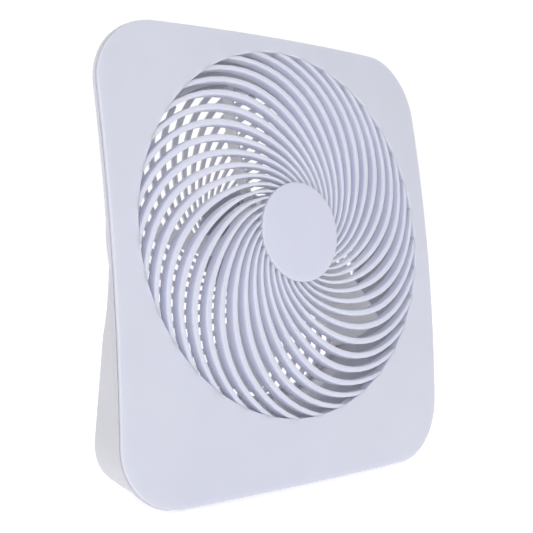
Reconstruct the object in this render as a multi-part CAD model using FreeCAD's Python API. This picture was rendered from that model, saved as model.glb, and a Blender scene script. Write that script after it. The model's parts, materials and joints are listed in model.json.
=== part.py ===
import FreeCAD, Part
import math
import os

from FreeCAD import Vector, Placement, Rotation

# Ten inch portable box fan on a flared battery base.
# The fan frame is X to the right seen from the front, the front towards -Y and +Z up.
# The face frame has u to the right, v up the leaning face and w out of the face, with its
# origin at the crown of the domed face on the fan's axis. Sizes are in millimetres.

# ---------------------------------------------------------------- driving dimensions
LEAN = 7.25              # how far the face leans back, degrees
GRILLE_R = 128.0         # radius of the front grille's opening
FACE_HALF_WIDTH = 146.5
FACE_TOP = 140.0         # from the fan's axis to the top edge
FACE_BOTTOM = 174.3      # from the fan's axis to the bottom edge
CORNER_TOP = 45.8
CORNER_BOTTOM = 44.2
DOME_RU = 1010.0         # the face's crown radius across its width
DOME_RV = 1240.0         # the face's crown radius up its height

WALL = 2.2
SEAM = 0.25              # gap between the cover and the housing's rim behind it
RIM_DEPTH = 5.5          # depth of the rim behind the face
FOOT_STAND = 1.5         # how far the rubber feet lift the housing

COVER_T = 2.5
COVER_INSET = 0.6        # how far the cover's edge stays inside the housing's
RIB_COUNT = 35
RIB_DEPTH = 8.0
RIB_SHARE = 0.42         # share of the pitch that a rib takes
HUB_R = 34.8
HUB_T = 3.0
RIB_SWEEP = (-95.8, 456.3, -520.9, 251.5)   # rib angle in degrees, a cubic in r / GRILLE_R
RIB_PHASE = 8.3

GUARD_COUNT = 36
GUARD_R = 115.0
GUARD_RING_R = 119.4
GUARD_W = -58.0          # plane where the guard meets the housing
GUARD_SAG = 6.5
GUARD_T = 2.6
GUARD_SHARE = 0.45
GUARD_HUB_R = 40.0
GUARD_PHASE = 4.0
EAR_R = 4.2

DUCT_R = 116.5           # bore of the round duct that the blades turn in
DUCT_T = 2.0
# The duct's mouth as (radius, w), flared out to meet the grille's collar.
DUCT_MOUTH = [(130.5, -17.7), (121.8, -27.0), (117.6, -38.0), (DUCT_R, -48.0)]
BOWL_R = 120.0           # the sloping back ends in this circle
BOWL_START = -12.0
BOWL_TURN = 22.5         # turn of the end circle's eight arcs, degrees

BLADE_COUNT = 5
BLADE_R = 113.0
BLADE_T = 1.8
BLADE_CHORD = 44.0
BLADE_PITCH = 59.0       # from the plane of the disc, degrees
BLADE_SWEEP = 0.143      # degrees the blade leads by for each millimetre outwards
BLADE_TIP_ANGLE = -114.5
BLADE_MID_W = -36.0
BLADE_CAMBER = 3.0
ROTOR_HUB_R = 28.0
ROTOR_HUB_T = 2.0
ROTOR_FRONT = -14.5
ROTOR_BACK = -46.0

SHAFT_R = 1.5
SHAFT_BUSH_GAP = 0.03
MOTOR_R = 13.85
MOTOR_FRONT = -33.0
MOTOR_BACK = -63.0
CUP_R_IN = 14.0
CUP_R_OUT = 16.2

BACK_PLANE_LEAN = 4.0    # lean of the plane where the base's side walls start
BACK_PLANE_W = -15.5
SIDE_DRAFT = 16.5        # draft of the base's side walls, degrees
BASE_REACH = 75.0

CELL_R = 17.1
CELL_LENGTH = 61.5
CELL_NOSE_R = 4.75
CELL_NOSE = 1.5
ROW_Y = (17.0, 51.6)     # the two rows of cells, behind the face's crown
CELL_Z = 23.0
TRAY_HALF = 97.0
TRAY_T = 1.2
BAY_HALF = 101.5
BAY_BACK = 71.6
BAY_TOP = 44.0
DOOR_HALF = 94.6
DOOR_BOTTOM = 6.4
DOOR_TOP = 39.6
DOOR_AXIS_Y = 70.4
DOOR_AXIS_Z = 8.6
DOOR_PIN_R = 1.1
DOOR_GAP = 0.4

PANEL_X = 113.0          # the knob and the power inlet sit this far each side
PANEL_Z = 80.0
KNOB_R = 11.5
KNOB_H = 9.0
SWITCH_SHAFT_R = 3.0
JACK_BORE_R = 2.8
JACK_PIN_R = 1.0

GRIP_HALF = 44.0         # half width of the finger recess behind the top edge
GRIP_LOW = 123.0
GRIP_HIGH = 136.7
GRIP_FRONT = -31.0
GRIP_BACK = -46.0

SCREW_R = 1.5
SCREW_HEAD_R = 2.9
SCREW_HEAD_T = 1.8
HOLE_PLAY = 0.05
COVER_SCREWS = [(-112, 106), (112, 106), (-116, -128), (116, -128)]
COVER_SCREW_SEAT = -29.0
COVER_POST_END = -22.0

FEET = [(-78, 9), (78, 9), (-78, 56), (78, 56)]
FOOT_R = 7.0

# ---------------------------------------------------------------- derived places
lean = math.radians(LEAN)
bottom_sag = FACE_BOTTOM ** 2 / (2 * DOME_RV)
APEX_Z = FOOT_STAND + FACE_BOTTOM * math.cos(lean) + bottom_sag * math.sin(lean)
APEX_Y = -33.0
FACE = Placement(Vector(0, APEX_Y, APEX_Z), Rotation(Vector(1, 0, 0), 90 - LEAN))
BACK = Placement(FACE.multVec(Vector(0, 0, BACK_PLANE_W)),
                 Rotation(Vector(1, 0, 0), 90 - BACK_PLANE_LEAN))
U = Vector(1, 0, 0)
W = Vector(0, 0, 1)
ORIGIN = Vector(0, 0, 0)

# The base's back in (y behind the crown, z): a hollow curve, a long slope and a rounded foot.
SLOPE_TOP = (31.0, 111.0)
SLOPE_FOOT = (60.5, 28.0)
slope_run = SLOPE_FOOT[0] - SLOPE_TOP[0]
slope_drop = SLOPE_TOP[1] - SLOPE_FOOT[1]
slope_length = math.hypot(slope_run, slope_drop)
PANEL_NORMAL = Vector(0, slope_drop / slope_length, slope_run / slope_length)
panel_y = SLOPE_TOP[0] + slope_run * (SLOPE_TOP[1] - PANEL_Z) / slope_drop


def placed(shape, placement):
    """A copy of a shape moved from its own frame into the fan's frame."""
    result = shape.copy()
    result.Placement = placement.multiply(result.Placement)
    return result


def on_face(shape):
    return placed(shape, FACE)


def cylinder(radius, low, high, at=(0, 0)):
    """A round bar along w from low to high."""
    return Part.makeCylinder(radius, high - low, Vector(at[0], at[1], low), W)


def tube(outer, inner, low, high, at=(0, 0)):
    return cylinder(outer, low, high, at).cut(cylinder(inner, low, high, at))


def box(low, high):
    size = Vector(*high) - Vector(*low)
    return Part.makeBox(size.x, size.y, size.z, Vector(*low))


def polar(radius, angle, w=0.0):
    a = math.radians(angle)
    return Vector(radius * math.cos(a), radius * math.sin(a), w)


# ---------------------------------------------------------------- outlines and domes
def rounded_outline(half, top, bottom, r_top, r_bottom, w):
    """The face's outline, a rectangle with round corners, at height w."""
    k = math.sqrt(0.5)

    def corner(cx, cy, radius, start):
        points = []
        for step in (0, 45, 90):
            a = math.radians(start + step)
            points.append(Vector(cx + radius * math.cos(a), cy + radius * math.sin(a), w))
        return Part.Arc(*points).toShape(), points[0], points[2]

    corners = [
        corner(half - r_top, top - r_top, r_top, 0),
        corner(r_top - half, top - r_top, r_top, 90),
        corner(r_bottom - half, r_bottom - bottom, r_bottom, 180),
        corner(half - r_bottom, r_bottom - bottom, r_bottom, 270),
    ]
    edges = []
    for i, (arc, start, end) in enumerate(corners):
        edges.append(arc)
        following = corners[(i + 1) % 4][1]
        edges.append(Part.makeLine(end, following))
    return Part.Wire(edges)


def face_outline(inset, w):
    return rounded_outline(FACE_HALF_WIDTH - inset, FACE_TOP - inset, FACE_BOTTOM - inset,
                           CORNER_TOP - inset, CORNER_BOTTOM - inset, w)


def face_prism(inset, low=-60.0, high=20.0):
    return Part.Face(face_outline(inset, low)).extrude(Vector(0, 0, high - low))


def dome_slab(front, back):
    """The space between the face's dome sunk by front and the same dome sunk by back."""
    reach = FACE_HALF_WIDTH + 20.0

    def arc(sink):
        radius = DOME_RU - sink
        edge_w = math.sqrt(radius ** 2 - reach ** 2) - DOME_RU
        ends = Vector(-reach, 0, edge_w), Vector(reach, 0, edge_w)
        return Part.Arc(ends[0], Vector(0, 0, -sink), ends[1]).toShape(), ends

    outer, outer_ends = arc(front)
    inner, inner_ends = arc(back)
    wire = Part.Wire([outer, Part.makeLine(outer_ends[1], inner_ends[1]), inner,
                      Part.makeLine(inner_ends[0], outer_ends[0])])
    half_angle = math.degrees(math.asin((FACE_BOTTOM + 20.0) / DOME_RV))
    centre = Vector(0, 0, -DOME_RV)
    section = Part.Face(wire)
    section.rotate(centre, U, -half_angle)
    return section.revolve(centre, U, 2 * half_angle)


# ---------------------------------------------------------------- spiral slots
def spiral_edge(inner, outer, angle_at):
    """A smooth edge from the inner to the outer radius at the angles that angle_at gives."""
    steps = 8
    points = []
    for i in range(steps + 1):
        r = inner + (outer - inner) * i / steps
        points.append(polar(r, angle_at(r)))
    curve = Part.BSplineCurve()
    curve.interpolate(points)
    return curve.toShape()


def spiral_slots(count, inner, outer, angle_at, rib_share, low, high):
    """One prism for each gap between spiral ribs, sharp where it meets the outer circle."""
    pitch = 360.0 / count
    near = pitch * rib_share / 2
    far = pitch - near
    first = spiral_edge(inner, outer, lambda r: angle_at(r) + near)
    last = spiral_edge(inner, outer, lambda r: angle_at(r) + far)

    def rim_arc(r):
        start = angle_at(r) + near
        end = angle_at(r) + far
        return Part.Arc(polar(r, start), polar(r, (start + end) / 2), polar(r, end)).toShape()

    wire = Part.Wire(Part.__sortEdges__([first, rim_arc(outer), last, rim_arc(inner)]))
    face = Part.Face(wire)
    face.translate(Vector(0, 0, low))
    prism = face.extrude(Vector(0, 0, high - low))
    slots = []
    for i in range(count):
        slot = prism.copy()
        slot.rotate(ORIGIN, W, i * pitch)
        slots.append(slot)
    return slots


def rib_angle(r):
    x = r / GRILLE_R
    a, b, c, d = RIB_SWEEP
    return RIB_PHASE + a + b * x + c * x ** 2 + d * x ** 3


def guard_angle(r):
    """The guard's ribs sweep the other way, so that they look alike from behind."""
    return GUARD_PHASE - (rib_angle(r) - RIB_PHASE)


# ---------------------------------------------------------------- front cover
def front_cover():
    outline = face_prism(COVER_INSET)
    panel = dome_slab(0, COVER_T).common(outline)
    grille = dome_slab(0, RIB_DEPTH).common(cylinder(GRILLE_R + COVER_T, -60, 20))
    posts = [cylinder(4.0, COVER_POST_END, -COVER_T, at) for at in COVER_SCREWS]
    posts = [post.common(dome_slab(1.0, 60)) for post in posts]
    cover = panel.fuse([grille] + posts)
    slots = spiral_slots(RIB_COUNT, HUB_R, GRILLE_R, rib_angle, RIB_SHARE, -40, 10)
    hub_hollow = cylinder(HUB_R - COVER_T, -40, -HUB_T)
    holes = [cylinder(SCREW_R + HOLE_PLAY, COVER_POST_END - 1, COVER_POST_END + 8, at)
             for at in COVER_SCREWS]
    cover = cover.cut(Part.makeCompound(slots))
    return on_face(cover.cut([hub_hollow] + holes).removeSplitter())


# ---------------------------------------------------------------- rear housing
def bowl(inset, end_extra=0.0):
    """The sloping back, from the face's outline to the duct's circle."""
    end = GUARD_W - end_extra
    radius = BOWL_R - inset
    rim = face_outline(inset, BOWL_START)
    edges = []
    for i in range(8):
        start = 45.0 * i + BOWL_TURN
        angles = (start, start + 22.5, start + 45.0)
        edges.append(Part.Arc(*[polar(radius, a, end) for a in angles]).toShape())
    return Part.makeLoft([rim, Part.Wire(edges)], True, True)


def base_profile(inset):
    """The base seen from the side, swept across the fan's whole width."""
    floor = FOOT_STAND + inset
    y = APEX_Y - inset
    top = SLOPE_TOP[1]
    hollow = Part.Arc(Vector(0, y + 13.0, 172.0 - inset), Vector(0, y + 19.0, 134.0),
                      Vector(0, y + SLOPE_TOP[0], top)).toShape()
    foot = Part.Arc(Vector(0, y + SLOPE_FOOT[0], SLOPE_FOOT[1]),
                    Vector(0, y + 63.0, 13.0), Vector(0, y + 58.0, floor)).toShape()
    front = APEX_Y - 45.0
    path = [
        Part.makeLine(Vector(0, front, floor), Vector(0, front, 172.0 - inset)),
        Part.makeLine(Vector(0, front, 172.0 - inset), Vector(0, y + 13.0, 172.0 - inset)),
        hollow,
        Part.makeLine(Vector(0, y + SLOPE_TOP[0], top), Vector(0, y + SLOPE_FOOT[0], SLOPE_FOOT[1])),
        foot,
        Part.makeLine(Vector(0, y + 58.0, floor), Vector(0, front, floor)),
    ]
    face = Part.Face(Part.Wire(path))
    face.translate(Vector(-200, 0, 0))
    return face.extrude(Vector(400, 0, 0))


def base_block(inset):
    """The base, its side walls drawn in towards the back and its back cut to the profile."""
    taper = BASE_REACH * math.tan(math.radians(SIDE_DRAFT))
    back_lean = math.radians(BACK_PLANE_LEAN)
    bottom = (BACK.Base.z - FOOT_STAND) / math.cos(back_lean)
    rise = BASE_REACH * math.tan(back_lean)
    near = rounded_outline(FACE_HALF_WIDTH - inset, FACE_TOP - inset, bottom - inset,
                           CORNER_TOP - inset, CORNER_BOTTOM - inset, 0)
    far = rounded_outline(FACE_HALF_WIDTH - inset - taper, FACE_TOP - inset, bottom - inset - rise,
                          CORNER_TOP - inset, CORNER_BOTTOM - inset - 8.0, -BASE_REACH)
    block = placed(Part.makeLoft([near, far], True, True), BACK)
    return block.common(base_profile(inset))


def behind_face(sink):
    return on_face(dome_slab(sink, 140.0))


def rim_block(inset, depth):
    """The straight rim, and below the middle the wall that carries on to the base."""
    rim = on_face(dome_slab(0, depth).common(face_prism(inset)))
    lower = on_face(dome_slab(0, 140.0).common(face_prism(inset, -60.0)))
    in_front = placed(Part.makeBox(400, 400, 100, Vector(-200, -400, -0.01)), BACK)
    return rim.fuse(lower.common(in_front).common(base_profile(inset)))


def bay_block(inset):
    """The battery bay, which stands out of the middle of the base's back."""
    half = BAY_HALF - inset
    low = FOOT_STAND + inset
    top = BAY_TOP - inset
    block = box((-half, APEX_Y + 8.0, low), (half, APEX_Y + BAY_BACK - inset, top))
    edges = [e for e in block.Edges if is_bay_corner(e, APEX_Y + BAY_BACK - inset, top)]
    return block.makeFillet(7.0 - inset, edges)


def is_bay_corner(edge, back, top):
    """The bay's two upper end edges, its top back edge and its two back corner edges."""
    middle = edge.CenterOfMass
    on_back = abs(middle.y - back) < 0.1
    on_top = abs(middle.z - top) < 0.1
    at_end = abs(middle.x) > 50
    return (on_back and on_top) or (on_top and at_end) or (on_back and at_end)


def panel_frame(x):
    """The frame of a fitting on the base's sloping back, with its own Z out of the wall."""
    rotation = Rotation(W, PANEL_NORMAL)
    return Placement(Vector(x, APEX_Y + panel_y, PANEL_Z), rotation)


def duct():
    """The duct with its flared mouth, turned from a profile of straight runs."""
    inner = [Vector(r, 0, w) for r, w in DUCT_MOUTH + [(DUCT_R, GUARD_W)]]
    outer = [Vector(p.x + DUCT_T, 0, p.z) for p in reversed(inner)]
    wall = Part.Face(Part.makePolygon(inner + outer + [inner[0]]))
    return on_face(wall.revolve(ORIGIN, W, 360))


def rear_housing():
    ground = box((-300, -300, -50), (300, 300, FOOT_STAND))
    outer = rim_block(0, RIM_DEPTH)
    outer = outer.fuse([on_face(bowl(0)).common(behind_face(1.0)),
                        base_block(0).common(behind_face(1.0)), bay_block(0)]).cut(ground)
    seat = on_face(face_prism(-5.0).common(dome_slab(-10.0, COVER_T + SEAM)))
    mouth = on_face(face_prism(WALL + 0.8, -14.5, 20.0))
    rooms = [mouth, on_face(bowl(WALL, 0.1)).common(behind_face(1.0)),
             base_block(WALL).common(behind_face(1.0)), rim_block(WALL, 1.0), bay_block(WALL)]
    floor = box((-300, -300, -50), (300, 300, FOOT_STAND + WALL))
    shell = outer.cut(rooms[0].fuse(rooms[1:]).cut(floor)).cut(seat)
    shell = shell.cut(on_face(cylinder(DUCT_R, GUARD_W - 1, DUCT_MOUTH[-1][1])))
    collar_r = GUARD_RING_R + 0.6
    additions = [
        duct(),
        on_face(tube(collar_r + WALL, collar_r - 2.0, GUARD_W - 30, GUARD_W)).common(outer),
        grip_recess(WALL, GRIP_BACK),
    ]
    for at in COVER_SCREWS:
        additions.append(on_face(cylinder(5.0, -80, COVER_POST_END - 0.3, at)).common(outer))
    for at in guard_screw_places():
        additions.append(on_face(cylinder(3.4, GUARD_W, GUARD_W + 12, at)))
    shell = shell.fuse(additions)
    cuts = [grip_recess(0, GRIP_BACK - 5.0), on_face(cylinder(collar_r, GUARD_W - 60, GUARD_W))]
    for at in COVER_SCREWS:
        cuts.append(on_face(cylinder(SCREW_R + 0.3, -90, 0, at)))
        cuts.append(on_face(cylinder(SCREW_HEAD_R + 0.4, -90, COVER_SCREW_SEAT, at)))
    for at in guard_screw_places():
        cuts.append(on_face(cylinder(SCREW_R * 0.8 + HOLE_PLAY, GUARD_W - 1, GUARD_W + 9, at)))
    cuts.append(door_opening())
    cuts.append(placed(cylinder(SWITCH_SHAFT_R + 0.6, -10, 5), panel_frame(PANEL_X)))
    cuts.append(placed(cylinder(5.0, -10, 5), panel_frame(-PANEL_X)))
    for x, y in FEET:
        cuts.append(Part.makeCylinder(FOOT_R + 0.1, 1.2, Vector(x, APEX_Y + y, FOOT_STAND - 0.2), W))
    return shell.cut(cuts).removeSplitter()


def guard_screw_places():
    return [polar(GUARD_RING_R + 0.5, 45.0 + 90.0 * i) for i in range(4)]


def grip_recess(grow, back):
    """The finger recess under the top edge, open to the back and above the duct."""
    low = Vector(-GRIP_HALF - grow, GRIP_LOW - grow, back)
    block = Part.makeBox(2 * (GRIP_HALF + grow), GRIP_HIGH - GRIP_LOW + 2 * grow,
                         GRIP_FRONT + grow - back, low)
    return on_face(block)


# ---------------------------------------------------------------- battery door
def door_opening():
    """The rear wall's opening with the two pin holes in the bay's ends."""
    gap = DOOR_GAP
    back = APEX_Y + BAY_BACK
    hole = box((-DOOR_HALF - gap, back - 6.0, DOOR_BOTTOM - gap),
               (DOOR_HALF + gap, back + 3.0, DOOR_TOP + gap))
    pins = Part.makeCylinder(DOOR_PIN_R + 0.06, 2 * DOOR_HALF + 6.0,
                             Vector(-DOOR_HALF - 3.0, APEX_Y + DOOR_AXIS_Y, DOOR_AXIS_Z), U)
    return hole.fuse(pins)


def battery_door():
    back = APEX_Y + BAY_BACK
    plate = box((-DOOR_HALF, back - WALL, DOOR_BOTTOM), (DOOR_HALF, back, DOOR_TOP))
    lip = Part.makeCylinder(2.0, 40.0, Vector(-20, back, DOOR_TOP - 4.0), U)
    pin = Part.makeCylinder(DOOR_PIN_R, 2 * DOOR_HALF + 4.0,
                            Vector(-DOOR_HALF - 2.0, APEX_Y + DOOR_AXIS_Y, DOOR_AXIS_Z), U)
    return plate.fuse([lip, pin]).removeSplitter()


# ---------------------------------------------------------------- rear guard and motor cap
def guard_shell(front, thickness):
    """The part of a thin ball that spans the guard's circle and bulges to the back."""
    radius = (GUARD_R ** 2 + GUARD_SAG ** 2) / (2 * GUARD_SAG)
    centre = Vector(0, 0, front - GUARD_SAG + radius)
    near = Part.makeSphere(radius, centre)
    far = Part.makeSphere(radius + thickness, centre)
    return cylinder(GUARD_R, front - 30, front).common(far).cut(near)


def rear_guard():
    ring = tube(GUARD_RING_R, GUARD_R - 2.0, GUARD_W - 3.0, GUARD_W)
    ears = [cylinder(EAR_R, GUARD_W - 3.0, GUARD_W, at) for at in guard_screw_places()]
    shell = guard_shell(GUARD_W, GUARD_T)
    cup = cylinder(CUP_R_OUT, GUARD_W - GUARD_SAG - 1.0, MOTOR_FRONT + 2.0)
    guard = shell.fuse([ring, cup] + ears)
    slots = spiral_slots(GUARD_COUNT, GUARD_HUB_R, GUARD_R - 2.5, guard_angle, GUARD_SHARE, -90, -40)
    cuts = [cylinder(CUP_R_IN, -90, MOTOR_FRONT), cylinder(4.2, -90, -20)]
    for at in guard_screw_places():
        cuts.append(cylinder(SCREW_R * 0.8 + 0.2, GUARD_W - 9, GUARD_W + 1, at))
    for side in (-1, 1):
        cuts.append(cylinder(1.2, -60, -20, (8.0 * side, 0)))
    for a in cap_screw_angles():
        cuts.append(cylinder(1.2 + HOLE_PLAY, -90, -60, polar(30.0, a)))
    return on_face(guard.cut(Part.makeCompound(slots)).cut(cuts).removeSplitter())


def cap_screw_angles():
    return [90.0 + 120.0 * i for i in range(3)]


CAP_FACE = GUARD_W - GUARD_T - GUARD_SAG


def motor_cap():
    """The round cap that closes the motor's cup from behind."""
    top = CAP_FACE - 3.4
    disc = Part.makeCone(36.0, 38.5, 3.4, Vector(0, 0, top), W)
    plug = cylinder(13.0, CAP_FACE - 0.1, MOTOR_BACK - 0.3)
    recess = guard_shell(GUARD_W, GUARD_T + 0.05)
    cap = disc.fuse(cylinder(38.5, CAP_FACE, CAP_FACE + 1.6)).cut(recess.cut(cylinder(13.2, -90, -40)))
    cap = cap.fuse(plug)
    cuts = []
    for a in cap_screw_angles():
        cuts.append(cylinder(1.5, -90, -60, polar(30.0, a)))
        cuts.append(cylinder(2.6, -90, CAP_FACE - 1.6, polar(30.0, a)))
    return on_face(cap.cut(cuts))


# ---------------------------------------------------------------- fan rotor
def blade_section(r):
    """A thin bent strip across the blade, square to the radius."""
    angle = BLADE_TIP_ANGLE + BLADE_SWEEP * (BLADE_R - r)
    centre = polar(r, angle, BLADE_MID_W)
    ahead = polar(1.0, angle - 90.0)
    pitch = math.radians(BLADE_PITCH)
    chord = ahead * math.cos(pitch) - W * math.sin(pitch)
    lift = ahead * math.sin(pitch) + W * math.cos(pitch)
    half = chord * (BLADE_CHORD * (0.36 + 0.14 * min(1.0, (r - 20.0) / 50.0)))
    bend = lift * BLADE_CAMBER
    t = lift * (BLADE_T / 2)
    front = [centre - half - bend + t, centre + t, centre + half - bend + t]
    back = [centre + half - bend - t, centre - t, centre - half - bend - t]
    return Part.Wire([Part.Arc(*front).toShape(), Part.makeLine(front[2], back[0]),
                      Part.Arc(*back).toShape(), Part.makeLine(back[2], front[0])])


def fan_blade():
    stations = [ROTOR_HUB_R - 1.6, 45.0, 65.0, 90.0, BLADE_R + 3.0]
    blade = Part.makeLoft([blade_section(r) for r in stations], True, False)
    blade = blade.common(cylinder(BLADE_R, -80, 0))
    hub = cylinder(ROTOR_HUB_R, ROTOR_BACK, ROTOR_FRONT)
    hub = hub.makeFillet(3.0, [hub.Edges[0]] if hub.Edges[0].CenterOfMass.z > -20 else [hub.Edges[2]])
    hub = hub.cut(cylinder(ROTOR_HUB_R - ROTOR_HUB_T, ROTOR_BACK - 1, ROTOR_FRONT - 2.5))
    boss = cylinder(6.5, -29.5, ROTOR_FRONT - 2.0)
    parts = [boss]
    for i in range(BLADE_COUNT):
        turned = blade.copy()
        turned.rotate(ORIGIN, W, 360.0 / BLADE_COUNT * i)
        inside = cylinder(ROTOR_HUB_R - ROTOR_HUB_T / 2, -80, 0)
        parts.append(turned.cut(inside))
    rotor = hub.fuse(parts)
    return on_face(rotor.cut(cylinder(3.5, -31, ROTOR_FRONT - 2.5)))


def hub_insert():
    return on_face(tube(3.5, SHAFT_R, -29.5, ROTOR_FRONT - 3.0))


# ---------------------------------------------------------------- motor
def motor_parts():
    """The motor's pieces, front to back, by node name."""
    front, back = MOTOR_FRONT, MOTOR_BACK
    can = tube(MOTOR_R, MOTOR_R - 1.0, back, front).fuse(cylinder(MOTOR_R, front - 1.0, front))
    can = can.fuse(cylinder(4.0, front - 1.0, front + 1.6)).cut(cylinder(3.0, front - 5, front + 5))
    can = can.cut([cylinder(1.2, front - 5, front + 5, (8.0 * side, 0)) for side in (-1, 1)])
    bush_bore = SHAFT_R + SHAFT_BUSH_GAP
    end_cap = cylinder(MOTOR_R - 1.0, back, back + 4.0).cut(cylinder(3.0, back + 1.0, back + 5.0))
    core = cylinder(8.6, -56.0, -40.0).cut(cylinder(SHAFT_R, -60, -30))
    notches = []
    for i in range(3):
        notch = Part.makeBox(3.0, 1.6, 30.0, Vector(6.2, -0.8, -60.0))
        notch.rotate(ORIGIN, W, 60.0 + 120.0 * i)
        notches.append(notch)
    windings = [tube(7.6, 3.2, low, low + 2.4) for low in (-58.5, -39.9)]
    magnets = []
    for start in (35.0, 215.0):
        ring = tube(MOTOR_R - 1.0, 9.3, -58.0, -38.0)
        wedge = Part.makeCylinder(40, 30, Vector(0, 0, -60), W, 110.0)
        wedge.rotate(ORIGIN, W, start)
        magnets.append(ring.common(wedge))
    return {
        "motor_can": can,
        "motor_end_cap": end_cap,
        "front_bush": tube(3.0, bush_bore, front - 3.0, front + 1.6),
        "rear_bush": tube(3.0, bush_bore, back + 1.0, back + 4.0),
        "motor_shaft": cylinder(SHAFT_R, back + 1.2, ROTOR_FRONT - 3.0),
        "armature_core": core.cut(notches),
        "armature_windings": Part.makeCompound(windings),
        "motor_magnets": Part.makeCompound(magnets),
    }


# ---------------------------------------------------------------- battery base
def cell_starts():
    """The left end of each cell: the front row sits to the right and the back row to the left."""
    row_length = 3 * CELL_LENGTH
    right = TRAY_HALF - 0.6
    return [(row, side) for row, side in ((0, right - row_length), (1, -right))]


def battery_cell(row, index):
    """A D cell lying along X, its nose towards the row's flat contact."""
    start = dict(cell_starts())[row] + index * CELL_LENGTH
    centre = (APEX_Y + ROW_Y[row], CELL_Z)
    body_start = start if row == 0 else start + CELL_NOSE
    body = Part.makeCylinder(CELL_R, CELL_LENGTH - CELL_NOSE - 0.05,
                             Vector(body_start, centre[0], centre[1]), U)
    body = body.makeFillet(1.2, [e for e in body.Edges if e.Length > 50 and e.Closed
                                 and abs(e.BoundBox.XLength) < 0.01])
    nose_start = start + CELL_LENGTH - CELL_NOSE - 0.3 if row == 0 else start + 0.05
    nose = Part.makeCylinder(CELL_NOSE_R, CELL_NOSE + 0.25, Vector(nose_start, centre[0], centre[1]), U)
    return body.fuse(nose)


def battery_tray():
    low_y = APEX_Y + ROW_Y[0] - CELL_R - 0.3 - TRAY_T
    high_y = APEX_Y + ROW_Y[1] + CELL_R - 3.0
    floor_z = CELL_Z - CELL_R - 0.2 - TRAY_T
    wall_z = CELL_Z + 6.0
    floor = box((-TRAY_HALF - TRAY_T, low_y, floor_z), (TRAY_HALF + TRAY_T, high_y, floor_z + TRAY_T))
    front = box((-TRAY_HALF - TRAY_T, low_y, floor_z), (TRAY_HALF + TRAY_T, low_y + TRAY_T, wall_z))
    ends = []
    for side in (-1, 1):
        x = side * (TRAY_HALF + TRAY_T / 2)
        ends.append(box((x - TRAY_T / 2, low_y, floor_z), (x + TRAY_T / 2, high_y, wall_z)))
    saddles = []
    middle_y = APEX_Y + sum(ROW_Y) / 2
    for x in (-31.0, 31.0):
        saddles.append(box((x - 0.8, low_y, floor_z), (x + 0.8, high_y, floor_z + 9.0)))
    tray = floor.fuse([front] + ends + saddles)
    bays = [Part.makeCylinder(CELL_R + 0.2, 2 * TRAY_HALF, Vector(-TRAY_HALF, APEX_Y + y, CELL_Z), U)
            for y in ROW_Y]
    return tray.cut(bays)


def contact_springs():
    """The two bowed leaf springs that press on the cells' flat ends."""
    springs = []
    for row, side in ((0, -1), (1, 1)):
        bow = 2 * TRAY_HALF - 0.6 - 3 * CELL_LENGTH - 1.3
        outer = Part.Arc(Vector(0, 0, -8), Vector(bow, 0, 0), Vector(0, 0, 8)).toShape()
        inner = Part.Arc(Vector(0, 0, 7.6), Vector(bow - 0.4, 0, 0), Vector(0, 0, -7.6)).toShape()
        ends = [Part.makeLine(Vector(0, 0, z), Vector(0, 0, z * 0.95)) for z in (8, -8)]
        strip = Part.Face(Part.Wire([outer, ends[0], inner, ends[1]])).extrude(Vector(0, 9, 0))
        strip.translate(Vector(0, -4.5, 0))
        if side > 0:
            strip.rotate(ORIGIN, W, 180)
        strip.translate(Vector(side * (TRAY_HALF - 0.5), APEX_Y + ROW_Y[row], CELL_Z))
        springs.append(strip)
    return Part.makeCompound(springs)


def contact_plates():
    """The flat contacts at the tray's ends: a pair at one end and a bridge at the other."""
    plates = []
    for row, y in enumerate(ROW_Y):
        x = -TRAY_HALF
        plates.append(box((x, APEX_Y + y - 9, CELL_Z - 9), (x + 0.45, APEX_Y + y + 9, CELL_Z + 5)))
    x = TRAY_HALF - 0.45
    plates.append(box((x, APEX_Y + ROW_Y[0] - 9, CELL_Z - 9), (x + 0.45, APEX_Y + ROW_Y[1] + 9, CELL_Z + 5)))
    return Part.makeCompound(plates)


# ---------------------------------------------------------------- switch, knob and inlet
def switch_parts():
    frame = panel_frame(PANEL_X)
    body = Part.makeBox(22, 20, 14, Vector(-11, -10, -WALL - 14.2))
    body = body.fuse(cylinder(6.0, -WALL - 0.4, -WALL - 0.05))
    body = body.cut(cylinder(SWITCH_SHAFT_R + 0.05, -WALL - 12.0, 1))
    shaft = cylinder(SWITCH_SHAFT_R, -WALL - 11.8, 6.5)
    flat = Part.makeBox(10, 3, 5, Vector(-5, SWITCH_SHAFT_R - 1.0, 1.6))
    knob = Part.makeCone(KNOB_R, KNOB_R - 1.5, KNOB_H - 0.8, Vector(0, 0, 0.8), W)
    flutes = []
    for i in range(12):
        flutes.append(cylinder(1.6, -1, KNOB_H + 1, polar(KNOB_R + 0.6, 30.0 * i + 15.0)))
    pointer = Part.makeBox(1.2, 8.0, 1.0, Vector(-0.6, 1.5, KNOB_H - 0.6))
    knob = knob.cut(flutes).cut([cylinder(SWITCH_SHAFT_R, 0, 6.5).cut(flat), pointer])
    return {
        "switch_body": placed(body, frame),
        "switch_shaft": placed(shaft.cut(flat), frame),
        "switch_knob": placed(knob, frame),
        "speed_resistor": placed(Part.makeBox(7, 18, 6, Vector(-18.2, -9, -WALL - 12)), frame),
    }


def inlet_parts():
    frame = panel_frame(-PANEL_X)
    body = cylinder(4.9, -11.5, 0.2).fuse(cylinder(6.4, 0.05, 1.3))
    body = body.cut(cylinder(JACK_BORE_R, -9.0, 3.0))
    pin = cylinder(JACK_PIN_R, -9.0, -0.4)
    nut = Part.Face(Part.makePolygon([polar(7.4, 60.0 * i, -WALL - 2.6) for i in range(7)]))
    nut = nut.extrude(Vector(0, 0, 2.5)).cut(cylinder(4.95, -20, 5))
    return {
        "dc_inlet": placed(body, frame),
        "inlet_pin": placed(pin, frame),
        "inlet_nut": placed(nut, frame),
    }


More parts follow.
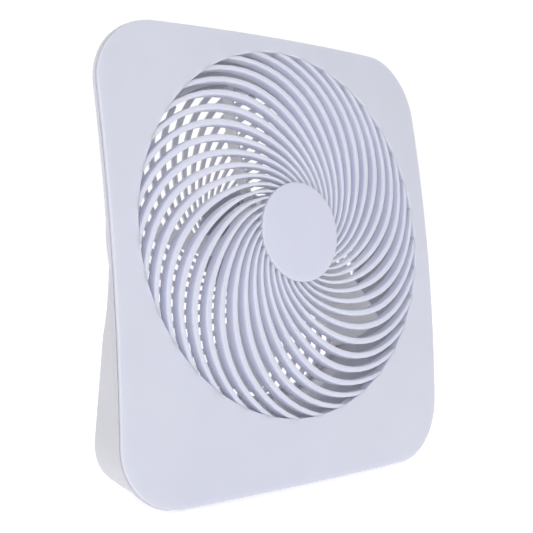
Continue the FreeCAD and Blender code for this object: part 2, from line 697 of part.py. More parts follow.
# ---------------------------------------------------------------- feet and screws
def feet():
    pads = []
    for x, y in FEET:
        pads.append(Part.makeCylinder(FOOT_R, FOOT_STAND + 0.95, Vector(x, APEX_Y + y, 0), W))
    return Part.makeCompound(pads)


def screw(at, head_w, length, shank=SCREW_R, head=SCREW_HEAD_R):
    """A pan head screw whose head faces the back and whose shank runs forward."""
    body = cylinder(shank, head_w, head_w + length, at)
    cap = cylinder(head, head_w - SCREW_HEAD_T, head_w, at)
    slot = Part.makeBox(head * 1.3, 0.7, 0.8, Vector(at[0] - head * 0.65, at[1] - 0.35,
                                                     head_w - SCREW_HEAD_T))
    cross = slot.copy()
    cross.rotate(Vector(at[0], at[1], 0), W, 90)
    return body.fuse(cap).cut([slot, cross])


def screw_sets():
    cap = [polar(30.0, a) for a in cap_screw_angles()]
    return {
        "cover_screws": [screw(at, COVER_SCREW_SEAT, 13.5) for at in COVER_SCREWS],
        "guard_screws": [screw(at, GUARD_W - 3.0, 11.0, SCREW_R * 0.8, 2.4) for at in guard_screw_places()],
        "cap_screws": [screw(at, CAP_FACE - 1.6, 6.0, 1.2, 2.3) for at in cap],
        "motor_screws": [front_screw((8.0 * side, 0)) for side in (-1, 1)],
    }


def front_screw(at):
    """A short screw from the front that holds the motor to its cup."""
    top = MOTOR_FRONT + 2.0
    return cylinder(1.15, top - 4.0, top, at).fuse(cylinder(2.2, top, top + 1.2, at))


def export(name, shape):
    shape.exportStep("parts/%s.step" % name)
    solids = len(shape.Solids)
    print("%-18s solids %2d  valid %s  volume %9.1f" % (name, solids, shape.isValid(), shape.Volume))


def main():
    os.makedirs("parts", exist_ok=True)
    export("front_cover", front_cover())
    export("rear_housing", rear_housing())
    export("battery_door", battery_door())
    export("rear_guard", rear_guard())
    export("motor_cap", motor_cap())
    export("fan_blade", fan_blade())
    export("hub_insert", hub_insert())
    for name, shape in motor_parts().items():
        export(name, on_face(shape))
    for row in (0, 1):
        for i in range(3):
            export("battery_cell_%d" % (3 * row + i + 1), battery_cell(row, i))
    export("battery_tray", battery_tray())
    export("contact_springs", contact_springs())
    export("contact_plates", contact_plates())
    for name, shape in list(switch_parts().items()) + list(inlet_parts().items()):
        export(name, shape)
    export("feet", feet())
    for name, screws in screw_sets().items():
        export(name, on_face(Part.makeCompound(screws)))


main()
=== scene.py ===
import json
import math

import bmesh
import bpy
from mathutils import Matrix, Vector


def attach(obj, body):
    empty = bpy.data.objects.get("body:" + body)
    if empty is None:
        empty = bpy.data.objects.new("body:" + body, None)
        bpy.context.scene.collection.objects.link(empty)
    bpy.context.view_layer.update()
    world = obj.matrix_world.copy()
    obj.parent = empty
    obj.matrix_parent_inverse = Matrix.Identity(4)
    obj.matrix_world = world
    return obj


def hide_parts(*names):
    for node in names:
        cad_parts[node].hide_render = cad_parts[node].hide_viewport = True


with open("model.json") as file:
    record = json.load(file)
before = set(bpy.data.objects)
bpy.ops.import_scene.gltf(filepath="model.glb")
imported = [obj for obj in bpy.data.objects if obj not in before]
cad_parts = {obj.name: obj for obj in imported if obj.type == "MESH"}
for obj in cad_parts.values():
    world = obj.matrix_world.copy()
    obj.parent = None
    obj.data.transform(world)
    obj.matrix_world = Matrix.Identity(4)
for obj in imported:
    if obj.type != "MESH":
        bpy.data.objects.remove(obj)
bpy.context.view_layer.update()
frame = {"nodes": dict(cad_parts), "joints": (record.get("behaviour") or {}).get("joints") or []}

# A ten inch portable box fan on a battery base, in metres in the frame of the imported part.
# Shapes are worked out in millimetres in the face's own frame: u to the right, v up the
# leaning face and w out of it, with the origin at the crown of the domed face.

MM = 0.001

# ---------------------------------------------------------------- driving dimensions, mm
DISC_MID_W = -36.0        # the fan's joint sits this far behind the crown

FACE_HALF_WIDTH = 146.5
FACE_TOP = 140.0
FACE_BOTTOM = 174.3
CORNER_TOP = 45.8
CORNER_BOTTOM = 44.2
DOME_RU = 1010.0
DOME_RV = 1240.0
GRILLE_R = 128.0          # the round opening that the spiral ribs cross
OPENING_EDGE = 0.35       # rounding of that opening's edge
COVER_INSET = 0.6         # from the housing's outline to the cover's
COVER_T = 2.5
COVER_EDGE = 0.8          # rounding of the cover's outer edge
SEAM_STEP = 0.55          # the cover's back edge is stepped, which leaves a thin seam in sight
SEAM_DEPTH = 2.6
COVER_SCREWS = ((-112, 106), (112, 106), (-116, -128), (116, -128))
BOSS_R = 4.0              # the bars behind the cover that take its screws
BOSS_BACK = -22.0

RIB_COUNT = 35
RIB_DEPTH = 8.0
RIB_SHARE = 0.42          # a rib fills this share of the pitch
RIB_SWEEP = (-95.8, 456.3, -520.9, 251.5)     # a rib's angle, as a cubic of radius / GRILLE_R
RIB_PHASE = 8.3
RIB_SINK = 0.12           # a crest's round edges lie this far under the dome
RIB_EDGE = 1.0            # rounding of a rib's crest
RIB_ROOT_LAP = 0.8        # the ribs run this far under the disc
RIB_END_LAP = 1.6         # and this far into the panel
RIB_CROWN = 0.12          # the middle of a crest stands this far above its round edges
RIB_FOOT = 0.4            # bevel of a rib's back corners
RIB_SHORT = 0.2           # the ribs are this much shallower than RIB_DEPTH, or GUARD_T at the back
HUB_R = 34.8
HUB_PROUD = 0.7
HUB_T = 3.0
HUB_EDGE = 0.6
BOSS_LAP = 0.2            # the screw bars run this far into the cover's back

GUARD_COUNT = 36
GUARD_R = 115.0
GUARD_RING_R = 119.4
GUARD_RING_LIP = 2.5      # the ring reaches this far inside the opening
GUARD_RING_T = 3.4
GUARD_RING_EDGE = 0.8
GUARD_W = -58.0
GUARD_SAG = 6.5
GUARD_T = 2.6
GUARD_SHARE = 0.45
GUARD_RIB_SINK = 0.1
GUARD_RIB_EDGE = 0.8
GUARD_HUB_R = 40.0
GUARD_HUB_EDGE = 0.7
GUARD_PHASE = 4.0
GUARD_EAR_COUNT = 4
GUARD_EAR_R = 4.2
GUARD_EAR_T = 3.0
GUARD_EAR_OUT = 0.5       # from the ring's edge out to an ear's middle
GUARD_ROOT_LAP = 0.3      # the ribs run this far into the hub
GUARD_END_LAP = 2.2       # and stop this far inside the opening's edge, in the ring
CUP_R_IN = 14.0           # the cup in the guard's middle that holds the motor
CUP_R_OUT = 16.2
CUP_BORE_R = 4.2
CUP_FRONT = -31.0
CUP_FLOOR = -33.0
CUP_BACK = -66.0
CUP_EDGE = 0.6

BLADE_COUNT = 5
BLADE_R = 113.0
BLADE_T = 1.8
BLADE_CHORD = 44.0
BLADE_ROOT_HALF = 0.36    # half the chord at BLADE_GROWS_FROM, as a share of BLADE_CHORD
BLADE_TIP_HALF = 0.5      # and from BLADE_GROWS_OVER further out
BLADE_GROWS_FROM = 20.0
BLADE_GROWS_OVER = 50.0
BLADE_PITCH = 59.0
BLADE_SWEEP = 0.143       # degrees per mm of radius
BLADE_TIP_ANGLE = -114.5
BLADE_CAMBER = 3.0
BLADE_TIP_THIN = 0.4      # the tip's thickness as a share of the blade's
BLADE_ROOT_LAP = 1.5      # the blades run this far into the hub
ROTOR_HUB_R = 28.0
ROTOR_FRONT = -14.5
ROTOR_BACK = -46.0
ROTOR_EDGE = 3.0
ROTOR_WALL = 2.0
ROTOR_FACE_T = 2.5
ROTOR_BORE_R = 3.5
ROTOR_PLUG_R = 3.6
ROTOR_SLEEVE_R = 6.5
ROTOR_SLEEVE_BACK = -29.5

BAR_EDGE = 0.3
RIB_EDGE_LIMIT = 0.8      # on a thin rib the crest's rounding is at most this share of its half width
RIB_FOOT_LIMIT = 0.4      # and the back's bevel at most this share
NEAR = 0.5                # a rib's direction is taken over this much radius each way
CENTRE_R = 0.6            # the middle of a plate is a flat cap of this radius
SHARP_ANGLE = math.radians(35.0)
TINY = 1e-9

spin = next(j for j in frame["joints"] if j["name"] == "fan_spin")
N = Vector(spin["axis"]).normalized()
U = Vector((1.0, 0.0, 0.0))
V = N.cross(U)
CROWN = Vector(spin["pos_m"]) - N * (DISC_MID_W * MM)


# ---------------------------------------------------------------- frames and curves
def face_point(u, v, w):
    """A point of the face's frame, in millimetres, in the part's frame."""
    return CROWN + (U * u + V * v + N * w) * MM


def dome(u, v):
    """How high the face's dome stands at u, v."""
    across = math.sqrt(DOME_RU ** 2 - u ** 2) - DOME_RU
    return math.sqrt((DOME_RV + across) ** 2 - v ** 2) - DOME_RV


def polar(radius, degrees):
    a = math.radians(degrees)
    return radius * math.cos(a), radius * math.sin(a)


def outline_point(degrees, inset):
    """Where a ray from the axis meets the face's outline, a rectangle with round corners."""
    dx, dy = polar(1.0, degrees)
    half = FACE_HALF_WIDTH - inset
    high = FACE_TOP - inset if dy > 0 else FACE_BOTTOM - inset
    radius = (CORNER_TOP if dy > 0 else CORNER_BOTTOM) - inset
    reach = min(half / max(abs(dx), TINY), high / max(abs(dy), TINY))
    x, y = abs(dx) * reach, abs(dy) * reach
    cx, cy = half - radius, high - radius
    if x > cx and y > cy:
        along = abs(dx) * cx + abs(dy) * cy
        reach = along + math.sqrt(max(along ** 2 - cx ** 2 - cy ** 2 + radius ** 2, 0.0))
    return dx * reach, dy * reach


def rib_angle(r):
    x = r / GRILLE_R
    a, b, c, d = RIB_SWEEP
    return a + b * x + c * x ** 2 + d * x ** 3


def arc_points(cx, cy, radius, start, end, steps):
    points = []
    for i in range(steps + 1):
        a = math.radians(start + (end - start) * i / steps)
        points.append((cx + radius * math.cos(a), cy + radius * math.sin(a)))
    return points


# ---------------------------------------------------------------- mesh making
def finish_mesh(bm, name, body, slot, nodes):
    """Turns a bmesh into a piece that rides on a body and stands for CAD nodes."""
    bmesh.ops.recalc_face_normals(bm, faces=bm.faces)
    mesh = bpy.data.meshes.new(name)
    bm.to_mesh(mesh)
    bm.free()
    mesh.materials.append(MATERIALS[slot])
    for polygon in mesh.polygons:
        polygon.use_smooth = True
    mesh.set_sharp_from_angle(angle=SHARP_ANGLE)
    piece = bpy.data.objects.new(name, mesh)
    bpy.context.scene.collection.objects.link(piece)
    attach(piece, body)
    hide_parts(*nodes)


def add_loops(bm, loops, closed_path=True):
    """Skins rows of points. A closed path joins the last row to the first; an open one gets caps."""
    rows = [[bm.verts.new(p) for p in loop] for loop in loops]
    count = len(rows[0])
    pairs = len(rows) if closed_path else len(rows) - 1
    for i in range(pairs):
        here, after = rows[i], rows[(i + 1) % len(rows)]
        for j in range(count):
            k = (j + 1) % count
            bm.faces.new((here[j], here[k], after[k], after[j]))
    if not closed_path:
        bm.faces.new(rows[0][::-1])
        bm.faces.new(rows[-1])


def flat(u, v):
    """The plane through the crown, for shapes that don't follow a curved surface."""
    return 0.0


def add_round(bm, profile, steps=96, base=flat):
    """Turns a closed (r, w) profile round the axis. base(u, v) lifts it on to a surface."""
    loops = []
    for i in range(steps):
        loop = []
        for r, w in profile:
            u, v = polar(r, 360.0 * i / steps)
            loop.append(face_point(u, v, w + base(u, v)))
        loops.append(loop)
    add_loops(bm, loops)


def add_disc(bm, profile, steps=96, base=flat, at=(0.0, 0.0)):
    """Turns an open (r, w) profile round the axis, or round at, and caps its two ends."""
    rows = []
    for r, w in profile:
        row = []
        for i in range(steps):
            u, v = polar(r, 360.0 * i / steps)
            row.append(face_point(at[0] + u, at[1] + v, w + base(u, v)))
        rows.append(row)
    add_loops(bm, rows, closed_path=False)


def add_bar(bm, at, radius, low, high):
    """A round bar along w at a place on the face, with both its ends bevelled."""
    profile = [(radius - BAR_EDGE, low), (radius, low + BAR_EDGE),
               (radius, high - BAR_EDGE), (radius - BAR_EDGE, high)]
    add_disc(bm, profile, 40, at=at)


def rib_section(half, crest, depth, edge):
    """A rib's cross-section: straight sides and a rounded crest, as (across, height)."""
    edge = min(edge, half * RIB_EDGE_LIMIT)
    foot = min(RIB_FOOT, half * RIB_FOOT_LIMIT)
    back = crest - depth
    right = arc_points(half - edge, crest - edge, edge, 0, 80, 4)
    left = [(-s, h) for s, h in reversed(right)]
    top = right + [(0.0, crest + RIB_CROWN)] + left
    return [(half, back + foot)] + top + [(-half, back + foot), (-half + foot, back), (half - foot, back)]


def add_spiral_ribs(bm, count, inner, outer, angle_at, share, section, base, flip=1.0, steps=22):
    """Ribs that follow a spiral from the inner to the outer radius on a curved base."""
    for i in range(count):
        turn = 360.0 / count * i
        loops = []
        for k in range(steps + 1):
            r = inner + (outer - inner) * k / steps
            here, behind, ahead = (Vector(polar(q, angle_at(q) + turn)) for q in (r, r - NEAR, r + NEAR))
            along = (ahead - behind).normalized()
            across = Vector((-along.y, along.x))
            slant = abs(along.dot(here.normalized()))
            half = share * math.pi * r / count * slant
            loop = []
            for s, h in section(half):
                p = here + across * s
                loop.append(face_point(p.x, p.y, base(p.x, p.y) + h * flip))
            loops.append(loop)
        add_loops(bm, loops, closed_path=False)


# ---------------------------------------------------------------- materials
def new_material(name):
    material = bpy.data.materials.new(name)
    material.use_nodes = True
    tree = material.node_tree
    shader = tree.nodes["Principled BSDF"]
    coords = tree.nodes.new("ShaderNodeTexCoord")
    return material, tree, shader, coords.outputs["Object"]


def noise(tree, coords, scale, detail=3.0):
    node = tree.nodes.new("ShaderNodeTexNoise")
    node.inputs["Scale"].default_value = scale
    node.inputs["Detail"].default_value = detail
    tree.links.new(coords, node.inputs["Vector"])
    return node.outputs["Fac"]


def ramp(tree, value, low, high):
    """A colour that goes from low to high over the middle of a noise's range."""
    node = tree.nodes.new("ShaderNodeValToRGB")
    first, last = node.color_ramp.elements
    first.position, last.position = 0.3, 0.7
    first.color, last.color = (*low, 1.0), (*high, 1.0)
    tree.links.new(value, node.inputs["Fac"])
    return node.outputs["Color"]


def map_range(tree, value, low, high, start=0.0):
    """Maps a value between start and 1 on to low to high."""
    node = tree.nodes.new("ShaderNodeMapRange")
    node.inputs["From Min"].default_value = start
    node.inputs["To Min"].default_value = low
    node.inputs["To Max"].default_value = high
    tree.links.new(value, node.inputs["Value"])
    return node.outputs["Result"]


def bump(tree, shader, height, distance):
    node = tree.nodes.new("ShaderNodeBump")
    node.inputs["Distance"].default_value = distance
    tree.links.new(height, node.inputs["Height"])
    tree.links.new(node.outputs["Normal"], shader.inputs["Normal"])


def tint(colour, factor):
    return tuple(min(1.0, c * factor) for c in colour)


# Noise scales are per metre, and depths are in metres.
FLOW_SCALE = 14.0
FLOW_SPREAD = 0.02        # how far the flow marks are lighter and darker than the plastic
SHEEN_SCALE = 60.0
PLASTIC_IOR = 1.5
SCATTER_DEPTH = 0.006     # how far light travels inside a translucent moulding
WHITE_TRANSLUCENCY = 0.7
STAIN_SCALE = 120.0
STAIN = 0.9               # a metal's darkest tone, as a share of its colour
SCRATCH_SCALE = 900.0
SCRATCH_DEPTH = 0.000008


def plastic(name, colour, rough=(0.36, 0.46), grain=1800.0, depth=0.000012, translucency=0.0):
    """Moulded plastic: a fine textured skin, faint flow marks and an uneven sheen."""
    material, tree, shader, coords = new_material(name)
    flow = noise(tree, coords, FLOW_SCALE, 4.0)
    base = ramp(tree, flow, tint(colour, 1.0 - FLOW_SPREAD), tint(colour, 1.0 + FLOW_SPREAD))
    sheen = map_range(tree, noise(tree, coords, SHEEN_SCALE), *rough)
    tree.links.new(base, shader.inputs["Base Color"])
    tree.links.new(sheen, shader.inputs["Roughness"])
    bump(tree, shader, noise(tree, coords, grain, 2.0), depth)
    shader.inputs["IOR"].default_value = PLASTIC_IOR
    shader.inputs["Subsurface Weight"].default_value = translucency
    shader.inputs["Subsurface Radius"].default_value = (1.0, 1.0, 1.0)
    shader.inputs["Subsurface Scale"].default_value = SCATTER_DEPTH
    return material


def metal(name, colour, rough=(0.22, 0.38)):
    """Bare metal: a slightly stained tone and fine scratches."""
    material, tree, shader, coords = new_material(name)
    base = ramp(tree, noise(tree, coords, STAIN_SCALE), tint(colour, STAIN), colour)
    sheen = map_range(tree, noise(tree, coords, SCRATCH_SCALE), *rough)
    tree.links.new(base, shader.inputs["Base Color"])
    tree.links.new(sheen, shader.inputs["Roughness"])
    bump(tree, shader, noise(tree, coords, SCRATCH_SCALE, 2.0), SCRATCH_DEPTH)
    shader.inputs["Metallic"].default_value = 1.0
    return material


MATERIALS = {
    "cover_plastic": plastic("cover_plastic", (0.67, 0.687, 0.815), translucency=WHITE_TRANSLUCENCY),
    "housing_plastic": plastic("housing_plastic", (0.60, 0.596, 0.665),
                               translucency=WHITE_TRANSLUCENCY),
    "blade_plastic": plastic("blade_plastic", (0.92, 0.91, 0.92), rough=(0.25, 0.35), depth=0.000004,
                             translucency=WHITE_TRANSLUCENCY),
    "knob_plastic": plastic("knob_plastic", (0.62, 0.63, 0.66), rough=(0.3, 0.42)),
    "dark_plastic": plastic("dark_plastic", (0.03, 0.03, 0.033), rough=(0.4, 0.55)),
    "steel": metal("steel", (0.62, 0.62, 0.64)),
    "core_steel": metal("core_steel", (0.36, 0.35, 0.35), rough=(0.4, 0.6)),
    "brass": metal("brass", (0.75, 0.55, 0.25)),
    "copper": metal("copper", (0.72, 0.35, 0.2)),
    "magnet": plastic("magnet", (0.07, 0.07, 0.075), rough=(0.5, 0.7), grain=900.0),
    "ceramic": plastic("ceramic", (0.75, 0.73, 0.68), rough=(0.6, 0.8), grain=900.0),
    "cell_wrap": plastic("cell_wrap", (0.05, 0.06, 0.08), rough=(0.2, 0.3), depth=0.000003),
    "foot_rubber": plastic("foot_rubber", (0.06, 0.06, 0.062), rough=(0.7, 0.9), grain=1200.0,
                           depth=0.00004),
}


# ---------------------------------------------------------------- front cover
def panel_section(reach, rings=14, back_rings=4):
    """The domed panel's section from the opening to the outline at reach, as (r, height)."""
    section = arc_points(GRILLE_R + OPENING_EDGE, -OPENING_EDGE, OPENING_EDGE, 180, 90, 3)
    start, end = section[-1][0], reach - COVER_EDGE
    section += [(start + (end - start) * k / rings, 0.0) for k in range(1, rings)]
    section += arc_points(end, -COVER_EDGE, COVER_EDGE, 90, 0, 4)
    step, wall = reach - SEAM_DEPTH, GRILLE_R + COVER_T
    section += [(reach, SEAM_STEP - COVER_T), (step, SEAM_STEP - COVER_T), (step, -COVER_T)]
    section += [(step + (wall - step) * k / back_rings, -COVER_T) for k in range(1, back_rings + 1)]
    return section + [(wall, -RIB_DEPTH), (GRILLE_R, -RIB_DEPTH)]


def add_cover_panel(bm, steps=560):
    """The panel's section carried round the face's outline and laid on its dome."""
    loops = []
    for i in range(steps):
        edge = Vector(outline_point(360.0 * i / steps, COVER_INSET))
        outward = edge.normalized()
        loop = []
        for r, w in panel_section(edge.length):
            p = outward * r
            loop.append(face_point(p.x, p.y, dome(p.x, p.y) + w))
        loops.append(loop)
    add_loops(bm, loops)


def add_cover_disc(bm, rings=6):
    """The round plate in the middle, a little proud of the ribs, with a rim behind."""
    profile = [(CENTRE_R, HUB_PROUD)]
    profile += [(HUB_R * k / rings, HUB_PROUD) for k in range(1, rings)]
    profile += arc_points(HUB_R - HUB_EDGE, HUB_PROUD - HUB_EDGE, HUB_EDGE, 90, 0, 4)
    profile += [(HUB_R, -RIB_DEPTH), (HUB_R - COVER_T, -RIB_DEPTH), (HUB_R - COVER_T, -HUB_T),
                (CENTRE_R, -HUB_T)]
    add_disc(bm, profile, 160, dome)


def front_rib_section(half):
    return rib_section(half, -RIB_SINK, RIB_DEPTH - RIB_SHORT, RIB_EDGE)


def front_rib_angle(r):
    return RIB_PHASE + rib_angle(r)


def make_front_cover():
    """The cover as three meshes, because translucent plastic that overlaps itself renders dark."""
    bm = bmesh.new()
    add_cover_panel(bm)
    for x, y in COVER_SCREWS:
        add_bar(bm, (x, y), BOSS_R, BOSS_BACK, dome(x, y) - COVER_T + BOSS_LAP)
    finish_mesh(bm, "front_cover_panel", "root", "cover_plastic", ["front_cover"])

    bm = bmesh.new()
    inner, outer = HUB_R - RIB_ROOT_LAP, GRILLE_R + RIB_END_LAP
    add_spiral_ribs(bm, RIB_COUNT, inner, outer, front_rib_angle, RIB_SHARE, front_rib_section, dome)
    finish_mesh(bm, "front_cover_ribs", "root", "cover_plastic", ["front_cover"])

    bm = bmesh.new()
    add_cover_disc(bm)
    finish_mesh(bm, "front_cover_disc", "root", "cover_plastic", ["front_cover"])


# ---------------------------------------------------------------- rear guard
def guard_base(u, v):
    """The guard's inner surface, part of a large ball that bulges to the back."""
    ball = (GUARD_R ** 2 + GUARD_SAG ** 2) / (2 * GUARD_SAG)
    return GUARD_W - GUARD_SAG + ball - math.sqrt(ball ** 2 - u ** 2 - v ** 2)


def guard_rib_section(half):
    return rib_section(half, GUARD_T - GUARD_RIB_SINK, GUARD_T - RIB_SHORT, GUARD_RIB_EDGE)


def guard_rib_angle(r):
    """The guard's ribs turn the other way from the front ones."""
    return GUARD_PHASE - rib_angle(r)


def add_guard_ring(bm):
    r_in, r_out, low = GUARD_R - GUARD_RING_LIP, GUARD_RING_R, GUARD_W - GUARD_RING_T
    edge = GUARD_RING_EDGE
    profile = [(r_in, GUARD_W)]
    profile += arc_points(r_in + edge, low + edge, edge, 180, 270, 4)
    profile += arc_points(r_out - edge, low + edge, edge, 270, 360, 4)
    profile.append((r_out, GUARD_W))
    add_round(bm, profile, 240)


def add_guard_hub(bm):
    edge = GUARD_HUB_EDGE
    profile = [(CUP_BORE_R, 0.0), (GUARD_HUB_R, 0.0)]
    profile += arc_points(GUARD_HUB_R - edge, -GUARD_T + edge, edge, 0, -90, 4)
    profile.append((CUP_BORE_R, -GUARD_T))
    add_round(bm, profile, 120, guard_base)


def add_motor_cup(bm):
    profile = [(CUP_R_IN, CUP_BACK), (CUP_R_OUT, CUP_BACK), (CUP_R_OUT, CUP_FRONT - CUP_EDGE),
               (CUP_R_OUT - CUP_EDGE, CUP_FRONT), (CUP_BORE_R, CUP_FRONT), (CUP_BORE_R, CUP_FLOOR),
               (CUP_R_IN, CUP_FLOOR)]
    add_round(bm, profile)


def make_rear_guard():
    bm = bmesh.new()
    inner, outer = GUARD_HUB_R - GUARD_ROOT_LAP, GUARD_R - GUARD_END_LAP
    add_spiral_ribs(bm, GUARD_COUNT, inner, outer, guard_rib_angle, GUARD_SHARE, guard_rib_section,
                    guard_base, flip=-1.0)
    add_guard_ring(bm)
    add_guard_hub(bm)
    add_motor_cup(bm)
    for i in range(GUARD_EAR_COUNT):
        at = polar(GUARD_RING_R + GUARD_EAR_OUT, 45.0 + 360.0 / GUARD_EAR_COUNT * i)
        add_bar(bm, at, GUARD_EAR_R, GUARD_W - GUARD_EAR_T, GUARD_W)
    finish_mesh(bm, "rear_guard_moulding", "root", "housing_plastic", ["rear_guard"])


# ---------------------------------------------------------------- fan blade
def blade_section(across=14):
    """A blade's chord as (position from -1 to 1, side), out along one face, back along the other."""
    upper = [(-1 + 2 * j / across, 1) for j in range(across + 1)]
    lower = [(1 - 2 * j / across, -1) for j in range(1, across)]
    return upper + lower


def blade_point(s, side, share, turn):
    """A point of a blade's skin at s across its chord and share of the way to its tip."""
    pitch = math.radians(BLADE_PITCH)
    inner = ROTOR_HUB_R - BLADE_ROOT_LAP
    growth = min(1.0, (inner + (BLADE_R - inner) * share - BLADE_GROWS_FROM) / BLADE_GROWS_OVER)
    half = BLADE_CHORD * (BLADE_ROOT_HALF + (BLADE_TIP_HALF - BLADE_ROOT_HALF) * growth)
    offset = s * half * math.cos(pitch)
    tip = math.sqrt(BLADE_R ** 2 - offset ** 2)
    r = inner + (tip - inner) * share
    angle = BLADE_TIP_ANGLE + BLADE_SWEEP * (BLADE_R - r) + turn
    centre = Vector((*polar(r, angle), DISC_MID_W))
    ahead = Vector((*polar(1.0, angle - 90.0), 0.0))
    out = Vector((0.0, 0.0, 1.0))
    chord = ahead * math.cos(pitch) - out * math.sin(pitch)
    lift = ahead * math.sin(pitch) + out * math.cos(pitch)
    thick = BLADE_T / 2 * math.sqrt(1.0 - abs(s) ** 8)
    if share == 1:
        thick *= BLADE_TIP_THIN
    return centre + chord * (s * half) + lift * (-BLADE_CAMBER * s * s + thick * side)


def add_blade(bm, turn, stations=16):
    """One blade, a thin bent strip that sweeps with its radius and ends in a round tip."""
    section = blade_section()
    loops = []
    for k in range(stations + 1):
        loops.append([face_point(*blade_point(s, side, k / stations, turn)) for s, side in section])
    add_loops(bm, loops, closed_path=False)


def add_rotor_hub(bm):
    """The rotor's cup with its inner sleeve, and the thin disc that closes its bore in front."""
    wall, face = ROTOR_HUB_R - ROTOR_WALL, ROTOR_FRONT - ROTOR_FACE_T
    profile = [(ROTOR_BORE_R, ROTOR_FRONT)]
    profile += arc_points(ROTOR_HUB_R - ROTOR_EDGE, ROTOR_FRONT - ROTOR_EDGE, ROTOR_EDGE, 90, 0, 8)
    profile += [(ROTOR_HUB_R, ROTOR_BACK), (wall, ROTOR_BACK), (wall, face), (ROTOR_SLEEVE_R, face),
                (ROTOR_SLEEVE_R, ROTOR_SLEEVE_BACK), (ROTOR_BORE_R, ROTOR_SLEEVE_BACK)]
    add_round(bm, profile, 120)
    add_disc(bm, [(ROTOR_PLUG_R, face), (ROTOR_PLUG_R, ROTOR_FRONT)], 48)


def make_fan_blade():
    bm = bmesh.new()
    add_rotor_hub(bm)
    for i in range(BLADE_COUNT):
        add_blade(bm, 360.0 / BLADE_COUNT * i)
    finish_mesh(bm, "fan_blade_moulding", "rotor", "blade_plastic", ["fan_blade"])


# ---------------------------------------------------------------- housing
HOUSING_VOXEL = 0.7       # mm; with the smoothing it rounds the edges by about a millimetre


def make_housing():
    """The CAD housing with every edge rounded, as a moulding's are."""
    source = frame["nodes"]["rear_housing"]
    piece = source.copy()
    piece.data = source.data.copy()
    piece.name = "rear_housing_moulding"
    piece.parent = None
    piece.matrix_world = Matrix.Identity(4)
    bpy.context.scene.collection.objects.link(piece)
    remesh = piece.modifiers.new("round", "REMESH")
    remesh.mode = "VOXEL"
    remesh.voxel_size = HOUSING_VOXEL * MM
    remesh.use_smooth_shade = True
    relax = piece.modifiers.new("relax", "SMOOTH")
    relax.factor = 0.5
    relax.iterations = 3
    piece.data.materials.clear()
    piece.data.materials.append(MATERIALS["housing_plastic"])
    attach(piece, "root")
    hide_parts("rear_housing")


# ---------------------------------------------------------------- carried-over nodes
# Widths in mm of the rounding that a CAD node's sharp edges get.
EDGE_WIDTHS = {
    "battery_door": 0.5, "motor_cap": 0.6, "switch_knob": 0.45, "dc_inlet": 0.25, "switch_body": 0.4,
    "battery_tray": 0.2, "inlet_nut": 0.2, "speed_resistor": 0.3, "motor_can": 0.3,
}
WELD_GAP = 0.002
BEVEL_ANGLE = math.radians(40.0)

NODE_SLOTS = {
    "front_cover": "cover_plastic", "rear_housing": "housing_plastic", "rear_guard": "housing_plastic",
    "motor_cap": "housing_plastic", "battery_door": "housing_plastic", "fan_blade": "blade_plastic",
    "switch_knob": "knob_plastic", "battery_tray": "dark_plastic", "switch_body": "dark_plastic",
    "dc_inlet": "dark_plastic", "motor_magnets": "magnet", "speed_resistor": "ceramic",
    "armature_core": "core_steel", "armature_windings": "copper", "hub_insert": "brass",
    "front_bush": "brass", "rear_bush": "brass", "inlet_pin": "brass", "feet": "foot_rubber",
    "motor_end_cap": "dark_plastic",
}


def node_slot(name):
    """The finish of a CAD node: the cells share one, and what isn't listed is steel."""
    if name.startswith("battery_cell"):
        return "cell_wrap"
    return NODE_SLOTS.get(name, "steel")


def soften(node, width):
    """Joins a CAD mesh's split corners and rounds its sharp edges by a width in millimetres."""
    weld = node.modifiers.new("weld", "WELD")
    weld.merge_threshold = WELD_GAP * MM
    edge = node.modifiers.new("edge", "BEVEL")
    edge.width = width * MM
    edge.segments = 3
    edge.limit_method = "ANGLE"
    edge.angle_limit = BEVEL_ANGLE
    edge.harden_normals = True


def dress_nodes():
    """Every CAD node gets the material of its slot, and those in EDGE_WIDTHS get soft edges."""
    for name, node in frame["nodes"].items():
        node.data.materials.clear()
        node.data.materials.append(MATERIALS[node_slot(name)])
        if name in EDGE_WIDTHS:
            soften(node, EDGE_WIDTHS[name])


# ---------------------------------------------------------------- stage, light and camera
FLOOR_SIZE = 6.0          # metres from the middle to an edge
FLOOR_DROP = 0.0002       # metres below the feet
FLOOR_TONES = ((0.8, 0.8, 0.8), (0.83, 0.83, 0.83))
FLOOR_GLOW = 0.5          # the floor shines a little, so that it looks pure white as in the photo
SKY_BAND = 0.35           # the sky is white up to this height, then dims towards the top
SKY_LOW = 1.02
SKY_HIGH = 0.75
SKY_LIT = 0.74            # the share of the sky's brightness that lights the fan
WHITE = (1.0, 1.0, 1.0, 1.0)
LIGHT_SIZE = 0.8
LIGHT_AIM = (0, 0, 0.16)
LIGHTS = (                # name, place in metres, watts
    ("back", (0.9, 1.4, 1.3), 6.0),
    ("key", (-1.05, -1.25, 0.45), 5.0),
)
CAMERA_PLACE = (-469.6, -507.0, -2.9)      # from the face's crown, mm
CAMERA_FORWARD = (0.65337, 0.75642, -0.03053)
CAMERA_LENS = 67.3
CAMERA_SENSOR = 36.0


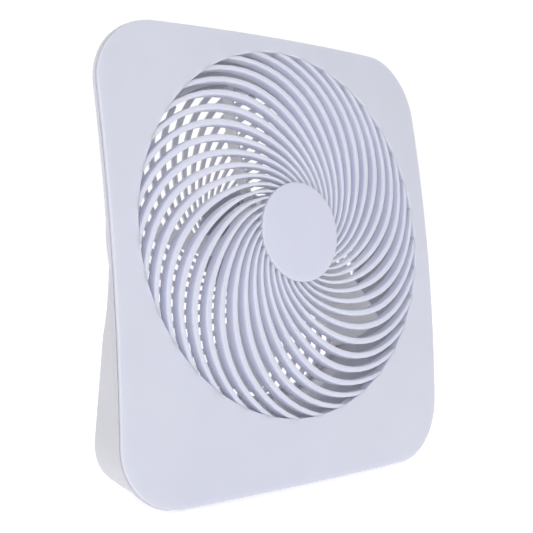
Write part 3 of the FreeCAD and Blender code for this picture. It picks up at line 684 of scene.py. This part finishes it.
def make_floor():
    bm = bmesh.new()
    bmesh.ops.create_grid(bm, x_segments=2, y_segments=2, size=FLOOR_SIZE)
    mesh = bpy.data.meshes.new("floor")
    bm.to_mesh(mesh)
    bm.free()
    floor = bpy.data.objects.new("floor", mesh)
    floor.location.z = -FLOOR_DROP
    bpy.context.scene.collection.objects.link(floor)
    material, tree, shader, coords = new_material("floor")
    tone = ramp(tree, noise(tree, coords, 3.0), *FLOOR_TONES)
    tree.links.new(tone, shader.inputs["Base Color"])
    shader.inputs["Emission Color"].default_value = WHITE
    shader.inputs["Emission Strength"].default_value = FLOOR_GLOW
    shader.inputs["Roughness"].default_value = 0.9
    shader.inputs["Specular IOR Level"].default_value = 0.1
    mesh.materials.append(material)


def make_sky():
    """A white sky that dims with height and is dimmer as a light than the camera sees it."""
    world = bpy.data.worlds.new("studio")
    bpy.context.scene.world = world
    world.use_nodes = True
    tree = world.node_tree
    background = tree.nodes["Background"]
    coords = tree.nodes.new("ShaderNodeTexCoord")
    split = tree.nodes.new("ShaderNodeSeparateXYZ")
    tree.links.new(coords.outputs["Generated"], split.inputs["Vector"])
    brightness = map_range(tree, split.outputs["Z"], SKY_LOW, SKY_HIGH, start=SKY_BAND)
    seen = tree.nodes.new("ShaderNodeLightPath").outputs["Is Camera Ray"]
    strength = tree.nodes.new("ShaderNodeMath")
    strength.operation = "MULTIPLY"
    tree.links.new(map_range(tree, seen, SKY_LIT, 1.0), strength.inputs[0])
    tree.links.new(brightness, strength.inputs[1])
    tree.links.new(strength.outputs["Value"], background.inputs["Strength"])
    background.inputs["Color"].default_value = WHITE


def add_light(name, place, power):
    data = bpy.data.lights.new(name, "AREA")
    data.shape = "DISK"
    data.size = LIGHT_SIZE
    data.energy = power
    lamp = bpy.data.objects.new(name, data)
    lamp.location = place
    lamp.rotation_euler = (Vector(LIGHT_AIM) - Vector(place)).to_track_quat("-Z", "Y").to_euler()
    bpy.context.scene.collection.objects.link(lamp)


def make_camera():
    data = bpy.data.cameras.new("camera")
    data.lens = CAMERA_LENS
    data.sensor_width = CAMERA_SENSOR
    camera = bpy.data.objects.new("camera", data)
    camera.location = CROWN + Vector(CAMERA_PLACE) * MM
    camera.rotation_euler = Vector(CAMERA_FORWARD).to_track_quat("-Z", "Y").to_euler()
    bpy.context.scene.collection.objects.link(camera)
    bpy.context.scene.camera = camera


dress_nodes()
make_front_cover()
make_rear_guard()
make_fan_blade()
make_housing()
make_floor()
make_sky()
for light in LIGHTS:
    add_light(*light)
make_camera()
bpy.context.scene.view_settings.view_transform = "Standard"
